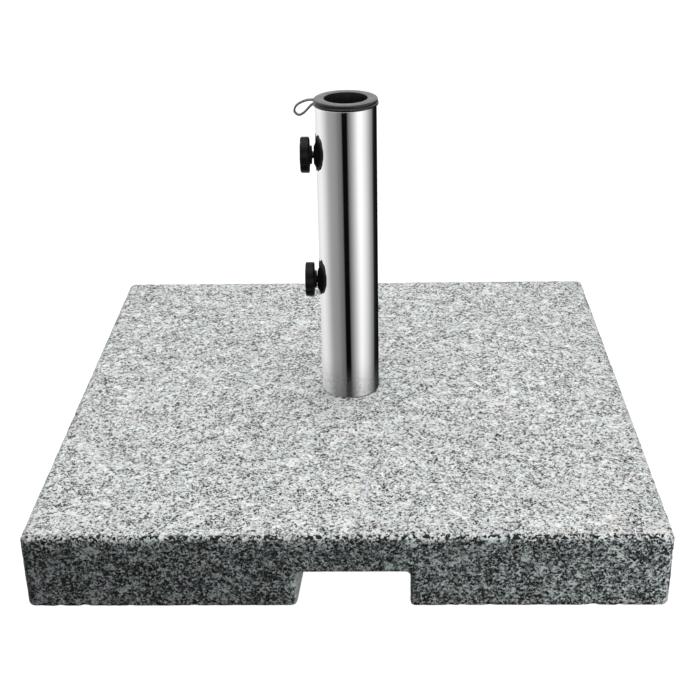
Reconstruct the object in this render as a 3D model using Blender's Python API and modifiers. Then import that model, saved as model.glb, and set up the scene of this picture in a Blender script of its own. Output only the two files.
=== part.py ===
"""Parasol base: a granite slab carrying a steel socket tube with two thumbscrews and a pole reducer.

Metres, +Z up.  The origin is on the floor under the tube's axis, the grip notch faces -Y and the
thumbscrews point to -X.
"""
import math

import bmesh
import bpy
from mathutils import Vector
from mathutils.geometry import interpolate_bezier

GAP = 0.0003                # clearance between neighbouring solids
ROUND_STEPS = 48            # facets round the tube and everything that fits it
SMALL_STEPS = 32            # facets round screws, nuts and washers
SMOOTH_ANGLE = math.radians(32)

# Rubber feet
FOOT_R = 0.015
FOOT_H = 0.0017
FOOT_INSET = 0.040
FOOT_EDGE = 0.0004

# Granite slab
SLAB_SIDE = 0.450
SLAB_THICK = 0.059
TOP_EDGE_R = 0.005
CORNER_R = 0.0055
BOTTOM_EDGE_R = 0.002
SLAB_BOTTOM = FOOT_H + GAP
SLAB_TOP = SLAB_BOTTOM + SLAB_THICK

# Hand-grip notch under the front edge
GRIP_WIDTH = 0.079
GRIP_CENTRE_X = 0.0050
GRIP_HEIGHT = 0.029
GRIP_DEPTH = 0.085
GRIP_DRIFT = (0.0058, 0.0042)  # how far the left and right walls slant towards +X at the inner end
GRIP_CORNER_R = 0.0025
GRIP_ARRIS = 0.0015

# Bolt recess under the slab
RECESS_R = 0.032
RECESS_DEPTH = 0.016
BOLT_HOLE_R = 0.007

# Socket tube
TUBE_R = 0.0235
TUBE_WALL = 0.0015
TUBE_BORE_R = TUBE_R - TUBE_WALL
GASKET_THICK = 0.0007
GASKET_BORE_R = 0.015
TUBE_BOTTOM = SLAB_TOP + GASKET_THICK + 2 * GAP

# Collar and reducer on top of the tube
RIM_TOP = SLAB_TOP + 0.2443
RIM_R = 0.0249
FLANGE_THICK = 0.0021
FLANGE_EDGE = 0.0007
COLLAR_BORE_R = 0.0195
COLLAR_SLEEVE = 0.032
REDUCER_BORE_R = 0.0165
REDUCER_SLEEVE = 0.030
COLLAR_TOP = RIM_TOP - FLANGE_THICK - GAP
TUBE_TOP = COLLAR_TOP - FLANGE_THICK - GAP

# Anchor bolt and what it clamps
DISC_THICK = 0.006
BOLT_R = 0.006
BOLT_FIT = 0.0003
BOLT_HEAD_H = 0.0075
BOLT_TOP = 0.0820
HEX_ACROSS = 0.018
NUT_HEIGHT = 0.010
PLATE_R = 0.028
PLATE_THICK = 0.004
SPRING_R = 0.0105
SPRING_THICK = 0.0026
SPRING_SLOT = 0.0016

# Thumbscrews: distances along their axis are measured outwards from the tube's axis
SCREWS = (                  # name, height, gap between boss and knob
    ("upper", SLAB_TOP + 0.2000, 0.0016),
    ("lower", SLAB_TOP + 0.0963, 0.0007),
)
BOSS_HALF_WIDTH = 0.0164
BOSS_HALF_HEIGHT = 0.0138
BOSS_RISE = 0.0034           # the pad reaches further above the screw than below it
BOSS_SQUARENESS = 2.8        # 2 is an ellipse; more makes fuller corners
BOSS_SKIN = 0.0006
HUB_FACE = 0.0252
HUB_FACE_R = 0.0062
HUB_BASE_R = 0.0160
HUB_ROOT = 0.0215
RIVET_R = 0.0045
RIVET_HEAD_R = 0.0057
RIVET_HEAD_THICK = 0.00065
RIVET_BULB_OUTER = 0.0209
RIVET_BULB_INNER = 0.0187
RIVET_END = 0.0175
STUD_R = 0.003
STUD_FIT = 0.0003
STUD_REACH = 0.0128
STUD_IN_KNOB = 0.0060
STUD_CHAMFER = 0.0005
TIP_R = 0.0019
TIP_PROUD = 0.0010
TIP_SEAT = 0.0030
KNOB_R = 0.0144
KNOB_THICK = 0.0070
KNOB_EDGE = 0.0012
NECK_R = 0.0070
NECK_LENGTH = 0.0019
FLUTES = 8
FLUTE_R = 0.0042
FLUTE_DEPTH = 0.0012
FLUTE_SIDES = 24

# Tether strap: a flat ribbon in the XZ plane, its points relative to the rim's top
STRAP_WIDTH = 0.0036
STRAP_THICK = 0.0014
STRAP_STEPS = 5
STRAP_POINTS = (
    (-0.0253, -0.0011), (-0.0292, -0.0021), (-0.0339, -0.0036), (-0.0371, -0.0056), (-0.0386, -0.0092),
    (-0.0353, -0.0130), (-0.0318, -0.0119), (-0.0283, -0.0083), (-0.0255, -0.0042),
)


def clear_scene():
    for obj in list(bpy.data.objects):
        bpy.data.objects.remove(obj, do_unlink=True)


def collection(name):
    made = bpy.data.collections.new(name)
    bpy.context.scene.collection.children.link(made)
    return made


def material(name, colour, roughness, metallic=0.0):
    made = bpy.data.materials.new(name)
    made.use_nodes = True
    shader = made.node_tree.nodes["Principled BSDF"]
    shader.inputs["Base Color"].default_value = (*colour, 1.0)
    shader.inputs["Roughness"].default_value = roughness
    shader.inputs["Metallic"].default_value = metallic
    return made


def mesh_object(name, bm, mat=None):
    """A part when it has a material, and a cutter when it has none."""
    mesh = bpy.data.meshes.new(name)
    bm.to_mesh(mesh)
    bm.free()
    obj = bpy.data.objects.new(name, mesh)
    if mat:
        mesh.materials.append(mat)
        PARTS.objects.link(obj)
    else:
        obj.hide_render = True
        obj.display_type = "WIRE"
        CUTTERS.objects.link(obj)
    return obj


def turned(name, profile, mat=None, steps=ROUND_STEPS):
    """Turn a profile of (radius, height) points about Z.

    The points run down the outer side.  A profile that starts on the axis ends on it, and any other
    is a closed loop round the section of a ring.
    """
    bm = bmesh.new()
    points = [bm.verts.new((radius, 0.0, height)) for radius, height in profile]
    for start, end in zip(points, points[1:]):
        bm.edges.new((start, end))
    if profile[0][0] > 0.0:
        bm.edges.new((points[-1], points[0]))
    obj = mesh_object(name, bm, mat)
    turn = obj.modifiers.new("turn", "SCREW")
    turn.axis = "Z"
    turn.angle = math.tau
    turn.steps = steps
    turn.render_steps = steps
    turn.use_merge_vertices = True
    turn.merge_threshold = 1e-5
    return obj


def ring(name, outer, inner, top, bottom, mat=None, steps=ROUND_STEPS):
    return turned(name, [(outer, top), (outer, bottom), (inner, bottom), (inner, top)], mat, steps)


def prism(name, radius, bottom, top, sides, mat=None):
    """A straight cylinder, or a hexagonal prism, on the Z axis."""
    bm = bmesh.new()
    bmesh.ops.create_cone(bm, cap_ends=True, segments=sides, radius1=radius, radius2=radius,
                          depth=top - bottom)
    bmesh.ops.translate(bm, verts=bm.verts, vec=(0.0, 0.0, (top + bottom) / 2))
    return mesh_object(name, bm, mat)


def boolean(obj, other, operation="DIFFERENCE"):
    step = obj.modifiers.new(other.name, "BOOLEAN")
    step.operation = operation
    step.solver = "EXACT"
    step.object = other


def point_outwards(obj, height):
    """Turn a piece made about Z so that its axis runs out to -X, at a height on the tube."""
    obj.rotation_euler = (0.0, -math.pi / 2, 0.0)
    obj.location = (0.0, 0.0, height)
    return obj


def hex_radius(across):
    return across / math.sqrt(3)


def fillet(radius, height, edge, steps=4):
    """Quarter-round from the flat top at `height` to the outer side at `radius`."""
    turns = [math.pi / 2 * step / steps for step in range(steps + 1)]
    return [(radius - edge + edge * math.sin(turn), height - edge + edge * math.cos(turn)) for turn in turns]


def round_edges(bm, edges, radius, segments):
    bmesh.ops.bevel(bm, geom=edges, offset=radius, segments=segments, profile=0.5, affect="EDGES")


def level_edges(bm, height):
    return [edge for edge in bm.edges if all(abs(vert.co.z - height) < 1e-6 for vert in edge.verts)]


def upright_edges(bm):
    return [edge for edge in bm.edges if abs(edge.verts[0].co.z - edge.verts[1].co.z) > 1e-6]


def block(size, centre):
    bm = bmesh.new()
    bmesh.ops.create_cube(bm, size=1.0)
    bmesh.ops.scale(bm, vec=size, verts=bm.verts)
    bmesh.ops.translate(bm, vec=centre, verts=bm.verts)
    return bm


def grip_cutter():
    """The notch: a channel with round corners and slightly slanting walls."""
    front = -SLAB_SIDE / 2
    low = SLAB_BOTTOM - GRIP_HEIGHT
    high = SLAB_BOTTOM + GRIP_HEIGHT
    length = GRIP_DEPTH + 0.010
    centre = (GRIP_CENTRE_X, front + GRIP_DEPTH - length / 2, (low + high) / 2)
    bm = block((GRIP_WIDTH, length, high - low), centre)
    along = [edge for edge in bm.edges
             if abs(edge.verts[0].co.y - edge.verts[1].co.y) > 1e-6 and edge.verts[0].co.z > SLAB_BOTTOM]
    round_edges(bm, along, GRIP_CORNER_R, 4)
    for vert in bm.verts:
        if vert.co.y > front:
            vert.co.x += GRIP_DRIFT[0] if vert.co.x < GRIP_CENTRE_X else GRIP_DRIFT[1]
    return mesh_object("grip_cutter", bm)


def grip_flare_cutter():
    """A wedge round the mouth of the notch, which leaves its arris chamfered."""
    front = -SLAB_SIDE / 2
    bm = block((GRIP_WIDTH, 0.004, 2 * GRIP_HEIGHT), (GRIP_CENTRE_X, front, SLAB_BOTTOM))
    round_edges(bm, [edge for edge in bm.edges
                     if abs(edge.verts[0].co.y - edge.verts[1].co.y) > 1e-6
                     and edge.verts[0].co.z > SLAB_BOTTOM], GRIP_CORNER_R, 4)
    outer = [vert for vert in bm.verts if vert.co.y < front]
    inner = [vert for vert in bm.verts if vert.co.y > front]
    reach = 0.002 + GRIP_ARRIS
    widen = (GRIP_WIDTH + 2 * reach) / GRIP_WIDTH
    raise_by = (GRIP_HEIGHT + reach) / GRIP_HEIGHT
    for vert in outer:
        vert.co.x = GRIP_CENTRE_X + (vert.co.x - GRIP_CENTRE_X) * widen
        vert.co.z = SLAB_BOTTOM + (vert.co.z - SLAB_BOTTOM) * raise_by
    for vert in inner:
        vert.co.y = front + GRIP_ARRIS
    return mesh_object("grip_flare_cutter", bm)


def granite_slab(mat):
    bm = block((SLAB_SIDE, SLAB_SIDE, SLAB_THICK), (0.0, 0.0, (SLAB_TOP + SLAB_BOTTOM) / 2))
    round_edges(bm, upright_edges(bm), CORNER_R, 4)
    round_edges(bm, level_edges(bm, SLAB_TOP), TOP_EDGE_R, 5)
    round_edges(bm, level_edges(bm, SLAB_BOTTOM), BOTTOM_EDGE_R, 3)
    slab = mesh_object("granite_slab", bm, mat)
    below = SLAB_BOTTOM - 0.010
    boolean(slab, grip_cutter())
    boolean(slab, grip_flare_cutter())
    boolean(slab, prism("recess_cutter", RECESS_R, below, SLAB_BOTTOM + RECESS_DEPTH, ROUND_STEPS))
    boolean(slab, prism("bolt_hole_cutter", BOLT_HOLE_R, below, SLAB_TOP + 0.010, SMALL_STEPS))
    return slab


def rubber_feet(mat):
    reach = SLAB_SIDE / 2 - FOOT_INSET
    profile = [(0.0, FOOT_H), (FOOT_R, FOOT_H), (FOOT_R, FOOT_EDGE), (FOOT_R - FOOT_EDGE, 0.0), (0.0, 0.0)]
    for side, x in (("left", -reach), ("right", reach)):
        for end, y in (("front", -reach), ("rear", reach)):
            foot = turned(f"foot_{end}_{side}", profile, mat, SMALL_STEPS)
            foot.location = (x, y, 0.0)


def socket_tube(mat):
    tube = ring("socket_tube", TUBE_R, TUBE_BORE_R, TUBE_TOP, TUBE_BOTTOM, mat)
    for place, height, _gap in SCREWS:
        hole = prism(f"{place}_hole_cutter", RIVET_R + GAP, TUBE_BORE_R - 0.004, TUBE_R + 0.004, SMALL_STEPS)
        boolean(tube, point_outwards(hole, height))


def tube_foot(steel, rubber):
    """The gasket under the tube, and the disc and nut welded into its lower end."""
    gasket_top = TUBE_BOTTOM - GAP
    ring("tube_gasket", TUBE_R, GASKET_BORE_R, gasket_top, gasket_top - GASKET_THICK, rubber)
    disc_top = TUBE_BOTTOM + DISC_THICK
    ring("tube_base_disc", TUBE_BORE_R - GAP, BOLT_R + BOLT_FIT, disc_top, TUBE_BOTTOM, steel)
    nut_bottom = disc_top + GAP
    nut = prism("weld_nut", hex_radius(HEX_ACROSS), nut_bottom, nut_bottom + NUT_HEIGHT, 6, steel)
    boolean(nut, prism("nut_bore_cutter", BOLT_R + BOLT_FIT, nut_bottom - 0.005,
                       nut_bottom + NUT_HEIGHT + 0.005, SMALL_STEPS))


def anchor_fixing(steel):
    """The bolt, spring washer and plate washer in the recess under the slab."""
    plate_top = SLAB_BOTTOM + RECESS_DEPTH - GAP
    plate_bottom = plate_top - PLATE_THICK
    ring("plate_washer", PLATE_R, BOLT_R + 2 * BOLT_FIT, plate_top, plate_bottom, steel)
    spring_top = plate_bottom - GAP
    spring_bottom = spring_top - SPRING_THICK
    spring = ring("spring_washer", SPRING_R, BOLT_R + BOLT_FIT, spring_top, spring_bottom, steel, SMALL_STEPS)
    slot = block((SPRING_R, SPRING_SLOT, 0.010), (SPRING_R, 0.0, (spring_top + spring_bottom) / 2))
    boolean(spring, mesh_object("spring_slot_cutter", slot))
    head_top = spring_bottom - GAP
    bolt = prism("anchor_bolt", hex_radius(HEX_ACROSS), head_top - BOLT_HEAD_H, head_top, 6, steel)
    boolean(bolt, prism("bolt_shank_tool", BOLT_R, head_top - 0.002, BOLT_TOP, SMALL_STEPS), "UNION")


def tube_collar(mat):
    low_edge = COLLAR_TOP - FLANGE_THICK
    sleeve_r = TUBE_BORE_R - GAP
    sleeve_end = COLLAR_TOP - FLANGE_THICK - COLLAR_SLEEVE
    turned("tube_collar", [
        *fillet(RIM_R, COLLAR_TOP, FLANGE_EDGE / 2, 2),
        (RIM_R, low_edge + FLANGE_EDGE / 2),
        (RIM_R - FLANGE_EDGE / 2, low_edge),
        (sleeve_r, low_edge),
        (sleeve_r, sleeve_end),
        (COLLAR_BORE_R, sleeve_end),
        (COLLAR_BORE_R, COLLAR_TOP),
    ], mat)


def reducer_insert(mat):
    low_edge = RIM_TOP - FLANGE_THICK
    sleeve_r = COLLAR_BORE_R - GAP
    sleeve_end = low_edge - REDUCER_SLEEVE
    turned("reducer_insert", [
        *fillet(RIM_R, RIM_TOP, FLANGE_EDGE),
        (RIM_R, low_edge + FLANGE_EDGE / 2),
        (RIM_R - FLANGE_EDGE / 2, low_edge),
        (sleeve_r, low_edge),
        (sleeve_r, sleeve_end),
        (REDUCER_BORE_R, sleeve_end),
        (REDUCER_BORE_R, RIM_TOP - FLANGE_EDGE),
        (REDUCER_BORE_R + FLANGE_EDGE, RIM_TOP),
    ], mat)


def strap_path():
    """A smooth line through the strap's points, with tangents along each point's neighbours."""
    points = [Vector((x, 0.0, RIM_TOP + z)) for x, z in STRAP_POINTS]
    padded = [points[0], *points, points[-1]]
    tangents = [(after - before) / 6 for before, after in zip(padded, padded[2:])]
    path = [points[0]]
    for index, (start, end) in enumerate(zip(points, points[1:])):
        handles = (start, start + tangents[index], end - tangents[index + 1], end)
        path += interpolate_bezier(*handles, STRAP_STEPS)[1:]
    return path


def tether_strap(mat):
    bm = bmesh.new()
    half = Vector((0.0, STRAP_WIDTH / 2, 0.0))
    rows = [(bm.verts.new(point - half), bm.verts.new(point + half)) for point in strap_path()]
    for (near, far), (next_near, next_far) in zip(rows, rows[1:]):
        bm.faces.new((near, far, next_far, next_near))
    strap = mesh_object("tether_strap", bm, mat)
    thicken = strap.modifiers.new("thickness", "SOLIDIFY")
    thicken.thickness = STRAP_THICK
    thicken.offset = 0.0


def saddle_boss(place, height, mat):
    """An oval pad wrapped on the tube, with a low round hub that the stud passes through."""
    bm = bmesh.new()
    bmesh.ops.create_cone(bm, cap_ends=True, segments=ROUND_STEPS, radius1=1.0, radius2=1.0, depth=0.016)
    for vert in bm.verts:
        vert.co.x = BOSS_HALF_HEIGHT * math.copysign(abs(vert.co.x) ** (2 / BOSS_SQUARENESS), vert.co.x)
        vert.co.y = BOSS_HALF_WIDTH * math.copysign(abs(vert.co.y) ** (2 / BOSS_SQUARENESS), vert.co.y)
    bmesh.ops.translate(bm, vec=(BOSS_RISE, 0.0, TUBE_R - 0.002), verts=bm.verts)
    boss = point_outwards(mesh_object(f"{place}_saddle_boss", bm, mat), height)
    reach = 0.030
    seat_r = TUBE_R + GAP
    skin = prism(f"{place}_boss_skin_tool", seat_r + BOSS_SKIN, height - reach, height + reach, ROUND_STEPS)
    boolean(boss, skin, "INTERSECT")
    hub_profile = [(0.0, HUB_FACE), (HUB_FACE_R, HUB_FACE), (HUB_BASE_R, HUB_ROOT), (0.0, HUB_ROOT)]
    hub = turned(f"{place}_hub_tool", hub_profile)
    boolean(boss, point_outwards(hub, height), "UNION")
    seat = prism(f"{place}_boss_seat_cutter", seat_r, height - reach, height + reach, ROUND_STEPS)
    boolean(boss, seat)
    recess_end = TUBE_R + 2 * GAP + RIVET_HEAD_THICK + GAP
    head_recess = prism(f"{place}_rivet_recess_cutter", RIVET_HEAD_R + GAP, 0.018, recess_end, SMALL_STEPS)
    boolean(boss, point_outwards(head_recess, height))
    stud_hole = prism(f"{place}_boss_hole_cutter", STUD_R + STUD_FIT, 0.018, 0.030, SMALL_STEPS)
    boolean(boss, point_outwards(stud_hole, height))


def rivet_nut(place, height, mat):
    head_inner = TUBE_R + GAP
    head_outer = head_inner + RIVET_HEAD_THICK
    bore_r = STUD_R + STUD_FIT
    nut = turned(f"{place}_rivet_nut", [
        (RIVET_HEAD_R, head_outer),
        (RIVET_HEAD_R, head_inner),
        (RIVET_R, head_inner),
        (RIVET_R, RIVET_BULB_OUTER),
        (RIVET_HEAD_R, RIVET_BULB_OUTER - 0.0006),
        (RIVET_HEAD_R, RIVET_BULB_INNER + 0.0006),
        (RIVET_R, RIVET_BULB_INNER),
        (RIVET_R, RIVET_END),
        (bore_r, RIVET_END),
        (bore_r, head_outer),
    ], mat, SMALL_STEPS)
    point_outwards(nut, height)


def thumbscrew(place, height, gap, plastic, steel, tip_plastic):
    """Knob, stud and tip, all on one axis; the knob's neck stands `gap` off the hub."""
    neck_end = HUB_FACE + gap
    head_inner = neck_end + NECK_LENGTH
    head_outer = head_inner + KNOB_THICK
    stud_end = neck_end - STUD_REACH
    stud_head = neck_end + STUD_IN_KNOB
    socket_r = STUD_R + STUD_FIT

    knob = turned(f"{place}_knob", [
        (0.0, head_outer),
        *fillet(KNOB_R, head_outer, KNOB_EDGE),
        (KNOB_R, head_inner + KNOB_EDGE / 2),
        (KNOB_R - KNOB_EDGE / 2, head_inner),
        (NECK_R, head_inner),
        (NECK_R, neck_end),
        (socket_r, neck_end),
        (socket_r, stud_head + GAP),
        (0.0, stud_head + GAP),
    ], plastic)
    point_outwards(knob, height)
    for flute in range(FLUTES):
        turn = math.tau * (flute + 0.5) / FLUTES
        off_axis = KNOB_R - FLUTE_DEPTH + FLUTE_R
        cutter = prism(f"{place}_flute_cutter_{flute + 1}", FLUTE_R, head_inner - 0.001,
                       head_outer + 0.002, FLUTE_SIDES)
        point_outwards(cutter, height)
        cutter.location += Vector((0.0, off_axis * math.sin(turn), off_axis * math.cos(turn)))
        boolean(knob, cutter)

    seat_r = TIP_R + GAP
    seat_top = stud_end + TIP_SEAT + GAP
    stud = turned(f"{place}_stud", [
        (0.0, stud_head),
        (STUD_R, stud_head),
        (STUD_R, stud_end + STUD_CHAMFER),
        (STUD_R - STUD_CHAMFER, stud_end),
        (seat_r, stud_end),
        (seat_r, seat_top),
        (0.0, seat_top),
    ], steel, SMALL_STEPS)
    point_outwards(stud, height)

    tip = turned(f"{place}_stud_tip", [
        (0.0, stud_end + TIP_SEAT),
        (TIP_R, stud_end + TIP_SEAT),
        (TIP_R, stud_end - TIP_PROUD),
        (0.0, stud_end - TIP_PROUD),
    ], tip_plastic, SMALL_STEPS)
    point_outwards(tip, height)


def shade_round(obj):
    """Settle the modifiers, then shade smooth except across real corners."""
    evaluated = obj.evaluated_get(bpy.context.evaluated_depsgraph_get())
    mesh = bpy.data.meshes.new_from_object(evaluated)
    mesh.name = obj.name
    mesh.shade_smooth()
    mesh.set_sharp_from_angle(angle=SMOOTH_ANGLE)
    obj.modifiers.clear()
    obj.data = mesh


def build():
    granite = material("granite", (0.52, 0.53, 0.53), 0.65)
    rubber = material("rubber", (0.02, 0.02, 0.02), 0.8)
    polished = material("polished_steel", (0.75, 0.75, 0.75), 0.08, 1.0)
    zinc = material("zinc_steel", (0.55, 0.56, 0.57), 0.35, 1.0)
    black = material("black_plastic", (0.02, 0.02, 0.019), 0.4)
    nylon = material("nylon", (0.75, 0.74, 0.70), 0.5)

    granite_slab(granite)
    rubber_feet(rubber)
    socket_tube(polished)
    tube_foot(zinc, rubber)
    anchor_fixing(zinc)
    tube_collar(black)
    reducer_insert(black)
    tether_strap(black)
    for place, height, gap in SCREWS:
        saddle_boss(place, height, black)
        rivet_nut(place, height, zinc)
        thumbscrew(place, height, gap, black, zinc, nylon)
    for obj in PARTS.objects:
        shade_round(obj)


clear_scene()
PARTS = collection("parasol_base")
CUTTERS = collection("cutters")
build()
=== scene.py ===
import math

import bmesh
import bpy
import numpy as np
from mathutils import Matrix, Vector, noise


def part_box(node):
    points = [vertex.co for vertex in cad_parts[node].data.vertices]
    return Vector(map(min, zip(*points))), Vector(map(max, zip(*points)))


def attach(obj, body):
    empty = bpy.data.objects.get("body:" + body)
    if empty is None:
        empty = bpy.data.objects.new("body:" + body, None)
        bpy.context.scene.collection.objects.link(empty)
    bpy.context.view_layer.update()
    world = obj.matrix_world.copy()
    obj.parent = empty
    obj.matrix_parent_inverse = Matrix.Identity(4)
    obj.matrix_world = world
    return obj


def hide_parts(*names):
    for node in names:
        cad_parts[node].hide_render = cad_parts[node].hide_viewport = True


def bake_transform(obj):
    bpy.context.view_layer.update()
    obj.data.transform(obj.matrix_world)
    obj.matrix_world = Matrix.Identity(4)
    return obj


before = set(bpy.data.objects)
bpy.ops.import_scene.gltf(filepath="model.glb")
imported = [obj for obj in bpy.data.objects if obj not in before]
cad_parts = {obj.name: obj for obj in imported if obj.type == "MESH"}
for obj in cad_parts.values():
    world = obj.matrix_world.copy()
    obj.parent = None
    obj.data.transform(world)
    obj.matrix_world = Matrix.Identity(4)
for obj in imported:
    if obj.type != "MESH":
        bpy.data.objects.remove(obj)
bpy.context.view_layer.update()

SCREWS = ("upper", "lower")
SMOOTH_ANGLE = math.radians(35)
FINE = 0.0002               # how far a fine piece may reach past its neighbour to close a CAD gap
TOUCHING = 1e-6             # closer than this, two heights or radii are the same


# ---------------------------------------------------------------- meshes

def mesh_from(name, verts, faces):
    mesh = bpy.data.meshes.new(name)
    mesh.from_pydata([tuple(v) for v in verts], [], faces)
    mesh.update()
    return mesh


def outward(mesh):
    """Turn a closed mesh's faces outwards."""
    bm = bmesh.new()
    bm.from_mesh(mesh)
    bmesh.ops.recalc_face_normals(bm, faces=bm.faces)
    bm.to_mesh(mesh)
    bm.free()
    return mesh


def smooth(mesh, angle=SMOOTH_ANGLE):
    mesh.shade_smooth()
    mesh.set_sharp_from_angle(angle=angle)


def piece(name, mesh, material, body, slot, *nodes, reflected=True):
    """Put a mesh in the scene as a piece of the object, which stands for the CAD nodes named.

    A piece that isn't reflected stays out of the polished tube's reflections.
    """
    obj = bpy.data.objects.new(name, mesh)
    bpy.context.scene.collection.objects.link(obj)
    mesh.materials.clear()
    mesh.materials.append(material)
    if body:
        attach(obj, body)
    obj.visible_glossy = reflected
    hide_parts(*nodes)
    return obj


def arc_corner(before, corner, after, radius, steps):
    """Points that round a corner of an outline, both sides shortened by the same amount."""
    into = (before - corner).normalized()
    away = (after - corner).normalized()
    half = into.angle(away) / 2
    cut = radius / math.tan(half)
    centre = corner + (into + away).normalized() * (radius / math.sin(half))
    start = corner + into * cut - centre
    sweep = math.pi - 2 * half
    side = 1.0 if start.cross(corner + away * cut - centre) > 0 else -1.0
    points = []
    for step in range(steps + 1):
        turn = side * sweep * step / steps
        cos, sin = math.cos(turn), math.sin(turn)
        points.append(centre + Vector((start.x * cos - start.y * sin, start.x * sin + start.y * cos)))
    return points


def rounded(corners, closed=True, steps=5):
    """An outline from (radius, height, rounding) corners, in order."""
    flat = [Vector(corner[:2]) for corner in corners]
    outline = []
    for index, corner in enumerate(flat):
        ends = not closed and index in (0, len(flat) - 1)
        rounding = 0.0 if ends or len(corners[index]) < 3 else corners[index][2]
        if rounding:
            outline += arc_corner(flat[index - 1], corner, flat[(index + 1) % len(flat)], rounding, steps)
        else:
            outline.append(corner)
    return outline


def lathe(name, outline, segments, closed=True, warp=None):
    """Turn an outline about Z; it runs down the outer side.

    warp(radius, height, angle) gives a new radius.
    """
    verts, faces = [], []
    poles = {index for index, point in enumerate(outline) if point.x < TOUCHING}
    rows = []
    for index, point in enumerate(outline):
        if index in poles:
            rows.append([len(verts)] * segments)
            verts.append((0.0, 0.0, point.y))
            continue
        row = []
        for step in range(segments):
            angle = math.tau * step / segments
            radius = warp(point.x, point.y, angle) if warp else point.x
            row.append(len(verts))
            verts.append((radius * math.cos(angle), radius * math.sin(angle), point.y))
        rows.append(row)
    pairs = list(zip(rows, rows[1:]))
    if closed:
        pairs.append((rows[-1], rows[0]))
    for upper, lower in pairs:
        for step in range(segments):
            after = (step + 1) % segments
            corners = [upper[step], lower[step], lower[after], upper[after]]
            face = [corner for place, corner in enumerate(corners) if corner not in corners[:place]]
            if len(face) > 2:
                faces.append(face)
    mesh = mesh_from(name, verts, faces)
    smooth(mesh)
    return mesh


def point_outwards(mesh, height):
    """Lay a mesh made about Z along -X, its axis at a height on the tube."""
    mesh.transform(Matrix.Translation((0.0, 0.0, height)) @ Matrix.Rotation(-math.pi / 2, 4, "Y"))
    return mesh


def apply_modifiers(obj):
    """The object's evaluated mesh; the object itself is removed."""
    graph = bpy.context.evaluated_depsgraph_get()
    mesh = bpy.data.meshes.new_from_object(obj.evaluated_get(graph))
    bpy.data.objects.remove(obj)
    return mesh


def loose(name, mesh):
    obj = bpy.data.objects.new(name, mesh)
    bpy.context.scene.collection.objects.link(obj)
    return obj


def boolean(obj, tool, operation="DIFFERENCE"):
    step = obj.modifiers.new(tool.name, "BOOLEAN")
    step.operation = operation
    step.solver = "EXACT"
    step.object = tool


def cylinder(name, radius, low, high, segments=64, outwards_at=None):
    """A tool for cutting, about Z, or about the screw axis at the height given."""
    outline = [Vector((0, high)), Vector((radius, high)), Vector((radius, low)), Vector((0, low))]
    mesh = lathe(name, outline, segments, closed=False)
    if outwards_at is not None:
        point_outwards(mesh, outwards_at)
    return loose(name, mesh)


# ---------------------------------------------------------------- node materials

class Shader:
    """A node material, built up one node at a time."""

    def __init__(self, name):
        self.material = bpy.data.materials.new(name)
        self.material.use_nodes = True
        self.tree = self.material.node_tree
        self.tree.nodes.clear()
        self.output = self.tree.nodes.new("ShaderNodeOutputMaterial")

    def add(self, kind, inputs=None, **settings):
        made = self.tree.nodes.new("ShaderNode" + kind)
        for key, value in settings.items():
            setattr(made, key, value)
        for key, value in (inputs or {}).items():
            if isinstance(value, bpy.types.NodeSocket):
                self.tree.links.new(value, made.inputs[key])
            else:
                made.inputs[key].default_value = value
        return made

    def position(self):
        return self.add("TexCoord").outputs["Object"]

    def math(self, operation, first, second=0.0):
        return self.add("Math", {0: first, 1: second}, operation=operation).outputs[0]

    def product(self, first, second):
        return self.math("MULTIPLY", first, second)

    def total(self, first, second):
        return self.math("ADD", first, second)

    def scaled(self, vector, factors):
        return self.add("VectorMath", {0: vector, 1: factors}, operation="MULTIPLY").outputs[0]

    def noise(self, vector, size, detail=2.0, roughness=0.5, output="Fac"):
        """Smooth noise whose features are about `size` metres across."""
        inputs = {"Vector": vector, "Scale": 1.0 / size, "Detail": detail, "Roughness": roughness}
        return self.add("TexNoise", inputs).outputs[output]

    def cells(self, vector, size):
        """Three random values, each constant over a cell about `size` metres across."""
        colour = self.add("TexVoronoi", {"Vector": vector, "Scale": 1.0 / size}).outputs["Color"]
        return self.add("SeparateColor", {0: colour}).outputs

    def warped(self, vector, size, amount):
        """The vector pushed about by noise, by up to half of `amount` metres."""
        push = self.add("VectorMath", {0: self.noise(vector, size, output="Color"), 1: (0.5, 0.5, 0.5)},
                        operation="SUBTRACT").outputs[0]
        push = self.scaled(push, (amount, amount, amount))
        return self.add("VectorMath", {0: vector, 1: push}, operation="ADD").outputs[0]

    def axes(self, vector):
        return self.add("SeparateXYZ", {0: vector}).outputs

    def facing(self):
        return self.axes(self.add("NewGeometry").outputs["Normal"])

    def ramp(self, value, stops):
        made = self.add("ValToRGB", {0: value})
        elements = made.color_ramp.elements
        while len(elements) < len(stops):
            elements.new(0.5)
        for element, (place, colour) in zip(elements, stops):
            element.position = place
            element.color = (*colour, 1.0) if hasattr(colour, "__len__") else (*[colour] * 3, 1.0)
        return made.outputs[0]

    def fit(self, value, low, high, to_low=0.0, to_high=1.0, kind="LINEAR"):
        inputs = {0: value, 1: low, 2: high, 3: to_low, 4: to_high}
        return self.add("MapRange", inputs, interpolation_type=kind).outputs[0]

    def mix(self, factor, first, second, blend="MIX"):
        made = self.add("Mix", data_type="RGBA", blend_type=blend)
        for socket, value in ((made.inputs[0], factor), (made.inputs[6], first), (made.inputs[7], second)):
            if isinstance(value, bpy.types.NodeSocket):
                self.tree.links.new(value, socket)
            else:
                socket.default_value = (*value, 1.0) if hasattr(value, "__len__") else value
        return made.outputs[2]

    def bump(self, height, distance, strength):
        inputs = {"Height": height, "Distance": distance, "Strength": strength}
        return self.add("Bump", inputs).outputs[0]

    def surface(self, shader):
        self.tree.links.new(shader, self.output.inputs[0])
        return self.material

    def principled(self, **inputs):
        named = {key.replace("_", " "): value for key, value in inputs.items()}
        return self.surface(self.add("BsdfPrincipled", named).outputs[0])


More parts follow.
